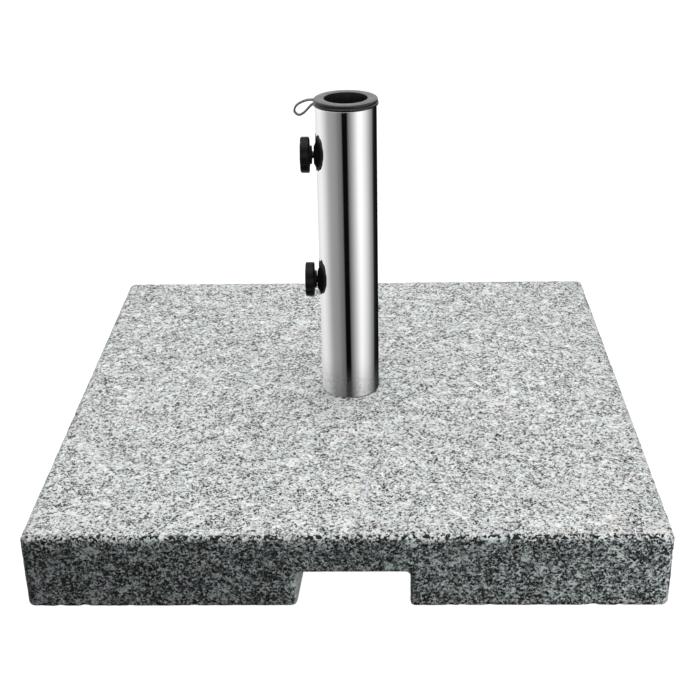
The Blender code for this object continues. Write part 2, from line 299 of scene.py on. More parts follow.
GRANITE_TOP = (             # (shade, albedo) of the fine-ground top
    (0.00, 0.006), (0.10, 0.022), (0.22, 0.115), (0.36, 0.38),
    (0.50, 0.60), (0.66, 0.71), (0.84, 0.81), (1.0, 0.90),
)
# the sides' colours are darker in the middle tones: partly their sawn finish, partly painted shade
GRANITE_SAWN_AND_SHADED_SIDE = (            # and of the sawn sides
    (0.00, 0.003), (0.10, 0.007), (0.22, 0.018), (0.36, 0.058),
    (0.50, 0.195), (0.66, 0.57), (0.84, 0.95), (1.0, 1.0),
)
GRANITE_TINTS = (           # (noise, tint) of the large patches
    (0.34, (0.955, 1.0, 0.975)), (0.44, (0.985, 1.0, 0.99)),
    (0.55, (0.97, 0.98, 1.0)), (0.66, (1.0, 0.985, 0.965)),
)
STONE_TINT = (0.985, 1.0, 0.995)
SIDE_TINT = (0.93, 1.0, 1.0)
# painted light: a lighter colour mixed onto the notch's side walls and arris
NOTCH_PAINTED_LIGHT = (0.62, 0.66, 0.65)
BRUISE = (0.012, 0.016, 0.018)
GRAIN_SIZE = 0.0016         # these are across, in metres
CRUMB_SIZE = 0.00105
MICA_SIZE = 0.0012
CRYSTAL_SIZE = 0.0052
BRUISE_SIZE = 0.0020
CLUMP_SIZE = 0.011
PATCH_SIZE = 0.013
POWDER_SIZE = 0.0007
NOTCH_LIGHT_REACH = 0.050    # from the notch's middle, to either side


def painted_notch_light(s, place):
    """How much painted light a point gets: some on the notch's side walls and arris, lighter in patches, none
    elsewhere.
    """
    turned_in = s.fit(s.math("ABSOLUTE", s.facing()[0]), 0.25, 0.60)
    from_middle = s.math("ABSOLUTE", s.math("SUBTRACT", s.axes(place)[0], GRIP_CENTRE_X))
    beside = s.math("LESS_THAN", from_middle, NOTCH_LIGHT_REACH)
    patchy = s.fit(s.noise(place, 0.003, 3.0, 0.6), 0.35, 0.65, 0.25, 0.75)
    return s.product(s.product(turned_in, beside), patchy)


def stone_shade(s, place, grain, powder):
    """The stone's own lights and darks: grains, smaller crumbs, mica specks and pale crystals."""
    crumb = s.cells(s.warped(place, 0.0011, 0.0010), CRUMB_SIZE)
    clump = s.noise(place, CLUMP_SIZE, 3.0, 0.6)
    shade = s.total(s.product(grain[0], 0.56), s.product(crumb[0], 0.36))
    shade = s.total(shade, s.fit(powder, 0.25, 0.75, -0.03, 0.13))
    shade = s.total(shade, s.fit(clump, 0.30, 0.70, 0.05, -0.05))
    speck = s.cells(s.warped(place, 0.0016, 0.0014), MICA_SIZE)
    mica = s.math("GREATER_THAN", s.fit(clump, 0.35, 0.75, 0.04, 0.34), speck[1])
    shade = s.math("SUBTRACT", shade, s.product(mica, s.fit(speck[2], 0.0, 1.0, 0.18, 0.56)))
    crystal = s.cells(s.warped(place, 0.0030, 0.0034), CRYSTAL_SIZE)
    return s.total(shade, s.product(s.fit(crystal[0], 0.88, 0.92), 0.22))


def bruises(s, place, sideways, upright):
    """Dark marks of the mason's tool along the rounded front and back edges, few at the sides."""
    rounding = s.product(s.fit(upright, 0.42, 0.50), s.fit(upright, 0.90, 0.985, 1.0, 0.0))
    rounding = s.product(rounding, s.fit(s.math("ABSOLUTE", sideways), 0.20, 0.40, 1.0, 0.12))
    mark = s.cells(s.warped(place, 0.0016, 0.0016), BRUISE_SIZE)
    return s.product(rounding, s.math("GREATER_THAN", mark[0], 0.60))


def granite():
    """Fine grey granite: interlocked feldspar and quartz, with mica specks and pale crystals.

    The sawn sides keep the stone's own contrast, and their darker middle tones are partly painted shade of
    their grain under grazing light; the top is fine-ground, which lightens it.
    """
    s = Shader("granite")
    place = s.position()
    sideways, _, upright = s.facing()
    bent = s.warped(s.warped(place, 0.0045, 0.0030), 0.0012, 0.0009)
    grain = s.cells(bent, GRAIN_SIZE)
    powder = s.noise(place, POWDER_SIZE, 2.0, 0.6)
    shade = stone_shade(s, place, grain, powder)
    top = s.mix(bruises(s, place, sideways, upright), s.ramp(shade, GRANITE_TOP), BRUISE)
    # the sides get their own darker ramp: partly sawn finish, partly painted shade of their grain under
    # grazing light
    side = s.mix(1.0, s.ramp(shade, GRANITE_SAWN_AND_SHADED_SIDE), SIDE_TINT, "MULTIPLY")
    # painted light on the notch's side walls and arris
    side = s.mix(painted_notch_light(s, place), side, NOTCH_PAINTED_LIGHT)
    ragged = s.total(upright, s.fit(grain[1], 0.0, 1.0, -0.16, 0.16))
    colour = s.mix(s.fit(ragged, 0.44, 0.50, 1.0, 0.0), top, side)
    tint = s.ramp(s.noise(place, PATCH_SIZE, 2.0, 0.5), GRANITE_TINTS)
    colour = s.mix(1.0, colour, tint, "MULTIPLY")
    colour = s.mix(1.0, colour, STONE_TINT, "MULTIPLY")
    normal = s.bump(s.total(s.product(grain[1], 0.5), powder), 0.0004, 0.45)
    rough = s.fit(grain[2], 0.0, 1.0, 0.55, 0.85)
    return s.principled(Base_Color=colour, Roughness=rough, Normal=normal, Specular_IOR_Level=0.12)


# painted reflection of the grey slab: the steel's colour grows darker towards the foot
STEEL_SLAB_REFLECTION = ((0.0, 0.66), (0.10, 0.74), (0.22, 0.83), (1.0, 0.94))     # (share of SLAB_REFLECTION_REACH, albedo)
SLAB_REFLECTION_REACH = 0.16           # up from the tube's foot, in metres
DUST_REACH = 0.030
TUBE_DUST = (0.40, 0.41, 0.39)


def polished_steel(base_height):
    """Mirror-polished stainless: faint upright polishing lines, smudges, and dust above the stone.

    A darker colour that grows towards the foot is a painted reflection of the grey slab.
    """
    s = Shader("polished_steel")
    place = s.position()
    lines = s.noise(s.scaled(s.warped(place, 0.05, 0.02), (1.0, 1.0, 0.03)), 0.0011, 3.0, 0.55)
    smudge = s.noise(place, 0.035, 4.0, 0.55)
    height = s.axes(place)[2]
    low = s.fit(height, base_height, base_height + DUST_REACH, 1.0, 0.0, "SMOOTHSTEP")
    dust = s.product(low, s.fit(s.noise(place, 0.0032, 3.0, 0.65), 0.30, 0.70, 0.25, 1.0))
    rough = s.total(s.fit(smudge, 0.35, 0.70, 0.045, 0.085), s.product(low, 0.10))
    # painted reflection of the slab, darker towards the foot
    painted_slab_reflection = s.ramp(s.fit(height, base_height, base_height + SLAB_REFLECTION_REACH), STEEL_SLAB_REFLECTION)
    colour = s.mix(s.product(dust, 0.70), painted_slab_reflection, TUBE_DUST)
    normal = s.bump(lines, 0.000004, 0.5)
    metal = s.math("SUBTRACT", 1.0, s.product(dust, 0.22))
    return s.principled(Base_Color=colour, Metallic=metal, Roughness=rough, Normal=normal)


def zinc_steel(name, cool, warm):
    """Plated fasteners: satin, with a faint bloom from a cool tone to a warm one."""
    s = Shader(name)
    place = s.position()
    bloom = s.noise(place, 0.008, 3.0, 0.6)
    colour = s.ramp(bloom, [(0.35, cool), (0.65, warm)])
    brush = s.noise(s.scaled(place, (1.0, 6.0, 6.0)), 0.0016, 3.0, 0.6)
    rough = s.fit(brush, 0.3, 0.7, 0.26, 0.42)
    normal = s.bump(brush, 0.00004, 0.4)
    return s.principled(Base_Color=colour, Metallic=1.0, Roughness=rough, Normal=normal)


def moulded(name, colour, roughness, specular=0.5, grain_size=0.00045, depth=0.00005):
    """Moulded plastic or rubber: fine spark-eroded grain and slightly uneven gloss."""
    s = Shader(name)
    place = s.position()
    grain = s.noise(place, grain_size, 2.0, 0.6)
    patch = s.noise(place, 0.006, 3.0, 0.55)
    darker = tuple(channel * 0.78 for channel in colour)
    lighter = tuple(channel * 1.25 for channel in colour)
    blotch = s.total(s.product(patch, 0.7), s.product(grain, 0.3))
    shade = s.ramp(blotch, [(0.35, darker), (0.65, lighter)])
    rough = s.fit(patch, 0.3, 0.7, roughness - 0.05, roughness + 0.06)
    normal = s.bump(grain, depth, 0.5)
    return s.principled(Base_Color=shade, Roughness=rough, Specular_IOR_Level=specular, Normal=normal)


# ---------------------------------------------------------------- granite slab

SLAB_VOXEL = 0.0019
TOP_EDGE_R = 0.0050
CORNER_R = 0.0060
BOTTOM_EDGE_R = 0.0022
SLAB_INSET = 0.0002         # leaves room for the uneven faces inside the CAD box
GRIP_WIDTH = 0.0790
GRIP_CENTRE_X = 0.0050
GRIP_HEIGHT = 0.0288
GRIP_DEPTH = 0.085
GRIP_DRIFT = (0.0058, 0.0042)   # how far its left and right walls slant towards +X over the depth
GRIP_CORNER_R = 0.0030
GRIP_FOOT_R = 0.0032
GRIP_ARRIS = 0.0018
CHIP_SIZE = 0.0075
CHIP_DEPTH = 0.0011
WORN_REACH = 0.0045         # how far in from an edge the wear fades
WAVE = 0.00022
RECESS_ROOM = 0.004         # between the plate washer and the recess' wall
BOLT_HOLE_R = 0.007
TOOL_OVERLAP = 0.01         # how far a cutting tool reaches past the face it starts from


def block(low, high):
    bm = bmesh.new()
    bmesh.ops.create_cube(bm, size=1.0)
    bmesh.ops.scale(bm, vec=high - low, verts=bm.verts)
    bmesh.ops.translate(bm, vec=(low + high) / 2, verts=bm.verts)
    return bm


def round_edges(bm, pick, radius, segments):
    edges = [edge for edge in bm.edges if pick(*(vert.co for vert in edge.verts))]
    bmesh.ops.bevel(bm, geom=edges, offset=radius, segments=segments, profile=0.5, affect="EDGES")


def mesh_of(bm, name):
    mesh = bpy.data.meshes.new(name)
    bm.to_mesh(mesh)
    bm.free()
    return mesh


def grip_outline(grow=0.0):
    """The notch seen from the front: round corners above, and feet that round off below."""
    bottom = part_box("granite_slab")[0].z
    low = bottom - 0.03
    half = GRIP_WIDTH / 2 + grow
    high = bottom + GRIP_HEIGHT + grow
    foot = GRIP_FOOT_R + grow
    left = rounded([(-half - foot, low), (-half - foot, bottom), (-half, bottom + 0.0001, foot * 0.99),
                    (-half, high, GRIP_CORNER_R), (0.0, high)], closed=False, steps=7)
    right = [Vector((-point.x, point.y)) for point in reversed(left[:-1])]
    return left + right


def grip_tool(front):
    """The notch, its walls slanting a little, its mouth flared to take the sharp edge off."""
    rings = ((front - 0.010, GRIP_ARRIS + 0.010), (front + GRIP_ARRIS, 0.0), (front + GRIP_DEPTH, 0.0))
    verts, faces = [], []
    for depth, grow in rings:
        share = (depth - front) / GRIP_DEPTH
        for point in grip_outline(grow):
            drift = GRIP_DRIFT[0] if point.x < 0 else GRIP_DRIFT[1]
            verts.append((GRIP_CENTRE_X + point.x + drift * share, depth, point.y))
    count = len(verts) // 3
    for ring in range(2):
        for index in range(count):
            after = (index + 1) % count
            faces.append([ring * count + index, ring * count + after,
                          (ring + 1) * count + after, (ring + 1) * count + index])
    faces += [list(range(count))[::-1], list(range(2 * count, 3 * count))]
    return loose("grip_tool", outward(mesh_from("grip_tool", verts, faces)))


def weather_stone(mesh, low, high):
    """Uneven faces and small chips along the edges, always inside the box."""
    count = len(mesh.vertices)
    co = np.empty(count * 3, np.float32)
    mesh.vertices.foreach_get("co", co)
    co = co.reshape(-1, 3)
    normals = np.empty(count * 3, np.float32)
    mesh.vertices.foreach_get("normal", normals)
    normals = normals.reshape(-1, 3)
    walls = np.stack([high[0] - np.abs(co[:, 0]), high[1] - np.abs(co[:, 1]),
                      np.minimum(high[2] - co[:, 2], co[:, 2] - low[2])], 1)
    walls.sort(axis=1)
    near_edge = np.exp(-np.maximum(walls[:, 1], 0.0) / WORN_REACH)
    wave = np.empty(count)
    chip = np.empty(count)
    for index, point in enumerate(co):
        at = Vector(point)
        wave[index] = noise.noise(at / 0.012) + 0.6 * noise.noise(at / 0.004)
        chip[index] = noise.noise(at / CHIP_SIZE + Vector((31.0, 7.0, 3.0)))
    depth = WAVE * (wave - 0.7) * (0.35 + near_edge)
    depth -= CHIP_DEPTH * near_edge * np.clip((chip - 0.12) / 0.5, 0.0, 1.0)
    co += normals * depth[:, None]
    np.clip(co, np.array(low), np.array(high), out=co)
    mesh.vertices.foreach_set("co", co.ravel())
    mesh.update()


def granite_slab(material):
    """The slab with its notch and recess, remeshed finely enough to carry chips."""
    low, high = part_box("granite_slab")
    inset = Vector((SLAB_INSET,) * 3)
    bm = block(low + inset, high - inset)
    top = high.z - SLAB_INSET
    bottom = low.z + SLAB_INSET
    round_edges(bm, lambda a, b: abs(a.z - b.z) > TOUCHING, CORNER_R, 6)
    round_edges(bm, lambda a, b: min(a.z, b.z) > top - TOUCHING, TOP_EDGE_R, 7)
    round_edges(bm, lambda a, b: max(a.z, b.z) < bottom + TOUCHING, BOTTOM_EDGE_R, 4)
    slab = loose("granite_slab_fine", mesh_of(bm, "granite_slab_fine"))
    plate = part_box("plate_washer")[1]
    under = low.z - TOOL_OVERLAP
    tools = [
        grip_tool(low.y),
        cylinder("recess_tool", plate.x + RECESS_ROOM, under, plate.z + 0.0003, 96),
        cylinder("bolt_hole_tool", BOLT_HOLE_R, under, high.z + TOOL_OVERLAP, 48),
    ]
    for tool in tools:
        boolean(slab, tool)
    remesh = slab.modifiers.new("grain", "REMESH")
    remesh.mode = "VOXEL"
    remesh.voxel_size = SLAB_VOXEL
    mesh = apply_modifiers(slab)
    for tool in tools:
        bpy.data.objects.remove(tool)
    weather_stone(mesh, low, high)
    mesh.shade_smooth()
    mesh.name = "granite_slab_fine"
    return piece("slab_stone", mesh, material, "root", "granite", "granite_slab", reflected=False)


# ---------------------------------------------------------------- socket tube and what holds it

TUBE_WALL = 0.0015
TUBE_EDGE_R = 0.0004
TUBE_LET_IN = 0.0010        # how far the tube's foot goes down past its CAD end, onto the gasket
GASKET_INSET = 0.0016
HOLE_R = 0.0047
HOLE_BAND = 0.009           # the tube's wall is divided this far above and below each screw hole


def ring_outline(outer, inner, low, high, rounding):
    corners = ((outer, high), (outer, low), (inner, low), (inner, high))
    return rounded([(*corner, rounding) for corner in corners])


def divided(outline, heights):
    """The outline with points added at these heights on its two long sides."""
    split = []
    for start, end in zip(outline, outline[1:] + outline[:1]):
        split.append(start)
        if abs(start.y - end.y) > heights[-1] - heights[0]:
            split += [Vector((start.x, height)) for height in (heights if end.y > start.y else heights[::-1])]
    return split


def socket_tube(material):
    low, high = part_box("socket_tube")
    outer, inner = high.x, high.x - TUBE_WALL
    outline = ring_outline(outer, inner, low.z - TUBE_LET_IN, high.z, TUBE_EDGE_R)
    bands = sorted(screw_height(place) + reach for place in SCREWS for reach in (-HOLE_BAND, HOLE_BAND))
    tube = loose("socket_tube_fine", lathe("socket_tube_fine", divided(outline, bands), 288))
    holes = [
        cylinder(f"{place}_hole_tool", HOLE_R, inner - 0.006, outer + 0.006, 48, screw_height(place))
        for place in SCREWS
    ]
    for hole in holes:
        boolean(tube, hole)
    mesh = apply_modifiers(tube)
    for hole in holes:
        bpy.data.objects.remove(hole)
    smooth(mesh)
    return piece("tube_shell", mesh, material, "root", "polished_steel", "socket_tube")


def tube_gasket(material):
    low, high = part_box("tube_gasket")
    outline = ring_outline(high.x - GASKET_INSET, 0.015, low.z - FINE, high.z, 0.0002)
    mesh = lathe("gasket_ring", outline, 192)
    return piece("gasket_ring", mesh, material, "root", "rubber", "tube_gasket")


def flat_ring(name, node, inner, rounding, material, slot):
    low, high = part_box(node)
    outline = ring_outline(high.x, inner, low.z, high.z, rounding)
    return piece(name, lathe(name, outline, 128), material, "root", slot, node, reflected=False)


def hexagon(name, across, low, high, chamfer=0.0012):
    """A hexagon with its corners turned off at both ends, as on a real bolt head or nut."""
    prism = cylinder(name, across / math.sqrt(3), low, high, 6)
    edge_r = across / 2 * 0.99
    wide_r = edge_r + 2 * chamfer
    outline = [Vector(point) for point in (
        (0, high), (edge_r, high), (wide_r, high - chamfer), (wide_r, low + chamfer), (edge_r, low), (0, low),
    )]
    dome = loose(name + "_dome", lathe(name + "_dome", outline, 96, closed=False))
    boolean(prism, dome, "INTERSECT")
    mesh = apply_modifiers(prism)
    bpy.data.objects.remove(dome)
    return mesh


def threaded(name, radius, pitch, low, high, outline_low, outline_high, segments=48, per_turn=8):
    """A round bar with a screw thread from low to high, tapered near the outline's limits.

    The ridge is a rounded saw-tooth whose phase advances one pitch a turn.
    """
    depth = 0.55 * pitch
    length = high - low
    rows = max(4, round(length / pitch * per_turn))
    heights = [low + length * row / rows for row in range(rows + 1)]
    chamfer = depth * 1.1
    verts, faces = [], []

    def ring_of(height):
        start = len(verts)
        for step in range(segments):
            turn = step / segments
            phase = ((height - low) / pitch - turn) % 1.0
            groove = 1.0 - (0.5 + 0.5 * math.cos(math.tau * phase)) ** 0.8
            fade = min(1.0, (height - outline_low) / chamfer, (outline_high - height) / chamfer)
            here = radius - depth * max(groove, 1.0 - fade)
            verts.append((here * math.cos(math.tau * turn), here * math.sin(math.tau * turn), height))
        return [start + step for step in range(segments)]

    rings = [ring_of(height) for height in heights]
    for lower, upper in zip(rings, rings[1:]):
        for step in range(segments):
            after = (step + 1) % segments
            faces.append([lower[step], lower[after], upper[after], upper[step]])
    for ring, height, flip in ((rings[0], heights[0], True), (rings[-1], heights[-1], False)):
        middle = len(verts)
        verts.append((0.0, 0.0, height))
        for step in range(segments):
            after = (step + 1) % segments
            faces.append([ring[after], ring[step], middle] if flip else [ring[step], ring[after], middle])
    mesh = mesh_from(name, verts, faces)
    smooth(mesh, math.radians(60))
    return mesh


def union(name, base, *others):
    """One mesh from several that overlap."""
    obj = loose(name, base)
    tools = [loose(f"{name}_tool_{index}", other) for index, other in enumerate(others)]
    for tool in tools:
        boolean(obj, tool, "UNION")
    mesh = apply_modifiers(obj)
    for tool in tools:
        bpy.data.objects.remove(tool)
    mesh.name = name
    smooth(mesh)
    return mesh


BOLT_R = 0.0060
BOLT_PITCH = 0.00175
NUT_BORE_R = 0.0061
DISC_BORE_R = 0.0063
WASHER_BORE_R = 0.0066


def anchor_fixing(zinc):
    """The bolt that holds the tube down, its nut and washers, and the disc in the tube's foot."""
    low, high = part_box("anchor_bolt")
    across = high.x - low.x
    head_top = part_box("spring_washer")[0].z - 0.0003
    head = hexagon("bolt_head", across, low.z, head_top)
    shank = threaded("bolt_shank", BOLT_R, BOLT_PITCH, head_top - 0.001, high.z, head_top - 0.010, high.z)
    bolt = union("anchor_bolt_fine", head, shank)
    piece("anchor_hex_bolt", bolt, zinc, "root", "zinc_steel", "anchor_bolt", reflected=False)
    nut_low, nut_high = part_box("weld_nut")
    nut = loose("weld_nut_fine", hexagon("weld_nut_fine", nut_high.x - nut_low.x, nut_low.z, nut_high.z))
    bore = cylinder("nut_bore_tool", NUT_BORE_R, nut_low.z - TOOL_OVERLAP, nut_high.z + TOOL_OVERLAP, 64)
    boolean(nut, bore)
    mesh = apply_modifiers(nut)
    bpy.data.objects.remove(bore)
    smooth(mesh)
    piece("welded_nut", mesh, zinc, "root", "zinc_steel", "weld_nut")
    flat_ring("anchor_plate", "plate_washer", WASHER_BORE_R, 0.0005, zinc, "zinc_steel")
    flat_ring("tube_floor_disc", "tube_base_disc", DISC_BORE_R, 0.0005, zinc, "zinc_steel")
    split_washer(zinc)


def split_washer(zinc):
    """A spring washer: one turn of square wire whose ends stand apart at the slot."""
    low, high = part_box("spring_washer")
    outer = high.y
    inner = outer - 0.0042
    rise = (high.z - low.z) * 0.18
    gap = math.radians(9)
    steps = 96
    verts, faces = [], []
    for step in range(steps + 1):
        turn = step / steps
        angle = gap + (math.tau - 2 * gap) * turn
        lift = rise * (turn - 0.5)
        bottom = low.z + rise / 2 + lift
        top = high.z - rise / 2 + lift
        for radius, height in ((outer, top), (outer, bottom), (inner, bottom), (inner, top)):
            verts.append((radius * math.cos(angle), radius * math.sin(angle), height))
    for step in range(steps):
        here, after = step * 4, step * 4 + 4
        for corner in range(4):
            side = (corner + 1) % 4
            faces.append([here + corner, here + side, after + side, after + corner])
    last = steps * 4
    faces.append([3, 2, 1, 0])
    faces.append([last, last + 1, last + 2, last + 3])
    mesh = outward(mesh_from("split_washer", verts, faces))
    smooth(mesh)
    piece("split_washer", mesh, zinc, "root", "zinc_steel", "spring_washer", reflected=False)


def rubber_feet(rubber):
    """Round pads with a shallow dish underneath."""
    for node in sorted(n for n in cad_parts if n.startswith("foot_")):
        low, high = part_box(node)
        radius = (high.x - low.x) / 2
        outline = rounded([
            (0, high.z + FINE), (radius - 0.0004, high.z + FINE), (radius, low.z + 0.0006, 0.0005),
            (radius - 0.0008, low.z, 0.0004), (radius - 0.0060, low.z, 0.0004),
            (radius - 0.0070, low.z + 0.0007, 0.0004), (0, low.z + 0.0007),
        ], closed=False)
        name = node.replace("foot", "pad")
        mesh = lathe(name, outline, 96, closed=False)
        mesh.transform(Matrix.Translation(((low.x + high.x) / 2, (low.y + high.y) / 2, 0.0)))
        piece(name, mesh, rubber, "root", "rubber", node, reflected=False)


# ---------------------------------------------------------------- collar, reducer and tether

def tube_collar(plastic):
    """A sleeve in the tube's mouth, under a thin flange that rests on its edge."""
    low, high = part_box("tube_collar")
    tube_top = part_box("socket_tube")[1].z
    rim = high.x
    flange_low = tube_top + 0.00005
    sleeve_r = 0.0217
    bore_r = 0.0195
    outline = rounded([
        (rim, high.z, 0.0009), (rim, flange_low, 0.0006), (rim - 0.0011, flange_low, 0.0002),
        (sleeve_r, flange_low), (sleeve_r - 0.0004, low.z, 0.0006), (bore_r, low.z, 0.0006),
        (bore_r, high.z + 0.0001, 0.0005),
    ])
    mesh = lathe("collar_ring", outline, 224)
    return piece("collar_ring", mesh, plastic, "root", "black_plastic", "tube_collar")


def reducer_insert(plastic):
    """The lift-out reducer; upright ribs round its sleeve make it a snug fit in the collar."""
    low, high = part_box("reducer_insert")
    rim = high.x - 0.0005
    flange_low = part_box("tube_collar")[1].z + 0.00015
    sleeve_r = 0.0189
    bore_r = 0.0167
    ribs = 12

    def ribbed(radius, height, angle):
        if radius < sleeve_r - 0.001 or radius > sleeve_r + 0.001 or height > flange_low - 0.001:
            return radius
        wave = max(0.0, math.cos(ribs * angle)) ** 8
        return radius + 0.00028 * wave

    outline = rounded([
        (rim, high.z, 0.00095), (rim, flange_low, 0.0002), (rim - 0.0010, flange_low, 0.0002),
        (sleeve_r, flange_low), (sleeve_r, flange_low - 0.0012), (sleeve_r, low.z + 0.0030),
        (sleeve_r - 0.0006, low.z, 0.0005), (bore_r, low.z, 0.0005), (bore_r, high.z, 0.0003),
    ])
    mesh = lathe("reducer_ring", outline, 288, warp=ribbed)
    return piece("reducer_ring", mesh, plastic, "reducer", "black_plastic", "reducer_insert")


STRAP_POINTS = (            # the loop's line in the XZ plane, in metres from the top of the rim
    (-0.0238, -0.0011), (-0.0266, -0.0011), (-0.0295, -0.0014), (-0.0340, -0.0030), (-0.0376, -0.0056),
    (-0.0391, -0.0092), (-0.0376, -0.0118), (-0.0350, -0.0126), (-0.0318, -0.0109), (-0.0288, -0.0079),
    (-0.0262, -0.0053), (-0.0238, -0.0040),
)
STRAP_WIDTH = 0.0036
STRAP_THICK = 0.0015
STRAP_STEPS = 8
STRAP_EDGE_STEPS = 5


def smooth_path(points, steps):
    """A Catmull-Rom line through the points."""
    padded = [points[0] * 2 - points[1], *points, points[-1] * 2 - points[-2]]
    path = []
    for before, start, end, after in zip(padded, padded[1:], padded[2:], padded[3:]):
        for step in range(steps):
            t = step / steps
            square = (2 * before - 5 * start + 4 * end - after) * t ** 2
            cube = (3 * start - before - 3 * end + after) * t ** 3
            path.append(0.5 * (2 * start + (end - before) * t + square + cube))
    return path + [points[-1]]


def tether_strap(plastic):
    """A flat ribbon with rounded edges, which thickens into the flange at each end."""
    rim_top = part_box("reducer_insert")[1].z
    path = smooth_path([Vector((x, 0.0, rim_top + z)) for x, z in STRAP_POINTS], STRAP_STEPS)
    across = Vector((0.0, 1.0, 0.0))
    length = len(path) - 1
    verts, faces, rings = [], [], []
    section = []
    edge_r = STRAP_THICK / 2
    for side in (1, -1):
        for step in range(STRAP_EDGE_STEPS + 1):
            turn = math.pi * step / STRAP_EDGE_STEPS
            section.append((side * (STRAP_WIDTH / 2 - edge_r + edge_r * math.sin(turn)),
                            side * edge_r * math.cos(turn)))
    for index, point in enumerate(path):
        ahead = path[min(index + 1, length)] - path[max(index - 1, 0)]
        up = across.cross(ahead.normalized())
        from_end = min(index, length - index) / length
        flare = 1.0 + 0.45 * max(0.0, 1.0 - from_end / 0.10) ** 2
        swell = min(flare, 1.25)
        rings.append([len(verts) + corner for corner in range(len(section))])
        verts += [point + across * (wide * flare) + up * (thick * swell) for wide, thick in section]
    for ring, following in zip(rings, rings[1:]):
        for corner in range(len(section)):
            side = (corner + 1) % len(section)
            faces.append([ring[corner], ring[side], following[side], following[corner]])
    faces += [rings[0][::-1], rings[-1]]
    mesh = outward(mesh_from("strap_loop", verts, faces))
    smooth(mesh, math.radians(60))
    strap = piece("strap_loop", mesh, plastic, None, "flexible_plastic", "tether_strap", reflected=False)
    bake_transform(strap)
    return strap


# ---------------------------------------------------------------- thumbscrews

def screw_height(place):
    low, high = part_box(f"{place}_knob")
    return (low.z + high.z) / 2


BOSS_SQUARENESS = (2.8, 1.8)    # of the edge above and below the middle; 2 is an ellipse
BOSS_SLIMMER = 0.97             # its width as a share of the CAD pad's
BOSS_SKIN = 0.00045             # the pad's thickness beside the hub, and at its edge
BOSS_RIM_SKIN = 0.00025
HUB_FACE_R = 0.0071
HUB_BASE_R = 0.0103
HUB_HOLE_R = 0.0033


def boss_rim(angle, half_width, reach_up, reach_down):
    """How far the pad's edge lies from the screw's axis, in a direction (angle from +Y towards +Z)."""
    rise = (reach_up - reach_down) / 2
    half_height = (reach_up + reach_down) / 2
    cos, sin = math.cos(angle), math.sin(angle)
    near, far = 0.0, 0.030
    for _ in range(40):
        middle = (near + far) / 2
        power = BOSS_SQUARENESS[0 if middle * sin > rise else 1]
        inside = abs(middle * cos / half_width) ** power + abs((middle * sin - rise) / half_height) ** power
        near, far = (middle, far) if inside < 1.0 else (near, middle)
    return near


def saddle_boss(place, plastic):
    """A thin pad wrapped on the tube, swelling to a low round hub with a flat face."""
    low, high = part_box(f"{place}_saddle_boss")
    height = screw_height(place)
    tube_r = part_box("socket_tube")[1].x
    half_width = (high.y - low.y) / 2 * BOSS_SLIMMER
    hub_face = -low.x
    spokes = 160
    hub_radii = [HUB_HOLE_R + 0.0003, 0.0046, HUB_FACE_R - 0.0003, HUB_FACE_R, HUB_FACE_R + 0.0003,
                 HUB_FACE_R + 0.0012, HUB_FACE_R + 0.0024, HUB_BASE_R - 0.0005, HUB_BASE_R]
    shares = [0.12, 0.28, 0.46, 0.64, 0.80, 0.90, 0.96, 0.99, 1.0]

    def pad_face(y, share):
        skin = BOSS_RIM_SKIN + (BOSS_SKIN - BOSS_RIM_SKIN) * (1.0 - share ** 3)
        if share > 0.95:
            skin -= BOSS_RIM_SKIN * 0.6 * ((share - 0.95) / 0.05) ** 2
        return math.sqrt(max((tube_r + skin) ** 2 - y * y, 0.0))

    def hub_distance(y, radius):
        """The hub's cone, from its flat face down to the pad, hollowed a little."""
        along = (radius - HUB_FACE_R) / (HUB_BASE_R - HUB_FACE_R)
        foot = pad_face(y, 0.0)
        if along <= 0.0:
            return hub_face
        eased = 1.0 - (1.0 - along) ** 1.3
        return hub_face + (foot - hub_face) * eased if foot < hub_face else foot

    verts, rows = [], []

    def add_row(place_point):
        row = []
        for step in range(spokes):
            angle = math.tau * step / spokes
            rim = boss_rim(angle, half_width, high.z - height, height - low.z)
            row.append(len(verts))
            reach, x = place_point(math.cos(angle), rim)
            verts.append((-x, reach * math.cos(angle), height + reach * math.sin(angle)))
        rows.append(row)

    def seat(reach, cos):
        return math.sqrt((tube_r + 0.00003) ** 2 - (reach * cos) ** 2)

    add_row(lambda cos, rim: (HUB_HOLE_R, seat(HUB_HOLE_R, cos)))
    add_row(lambda cos, rim: (HUB_HOLE_R, hub_face - 0.0003))
    for radius in hub_radii:
        add_row(lambda cos, rim: (radius, hub_distance(radius * cos, radius)))
    for share in shares:
        def pad_point(cos, rim):
            reach = HUB_BASE_R + (max(rim, HUB_BASE_R + 0.0004) - HUB_BASE_R) * share
            return reach, pad_face(reach * cos, share)
        add_row(pad_point)
    add_row(lambda cos, rim: (max(rim, HUB_BASE_R + 0.0004), seat(max(rim, HUB_BASE_R + 0.0004), cos)))
    faces = []
    for ring, following in zip(rows, rows[1:] + rows[:1]):
        for step in range(spokes):
            after = (step + 1) % spokes
            faces.append([ring[step], ring[after], following[after], following[step]])
    mesh = outward(mesh_from(f"{place}_boss", verts, faces))
    smooth(mesh, math.radians(40))
    return piece(f"{place}_boss", mesh, plastic, "root", "black_plastic", f"{place}_saddle_boss")


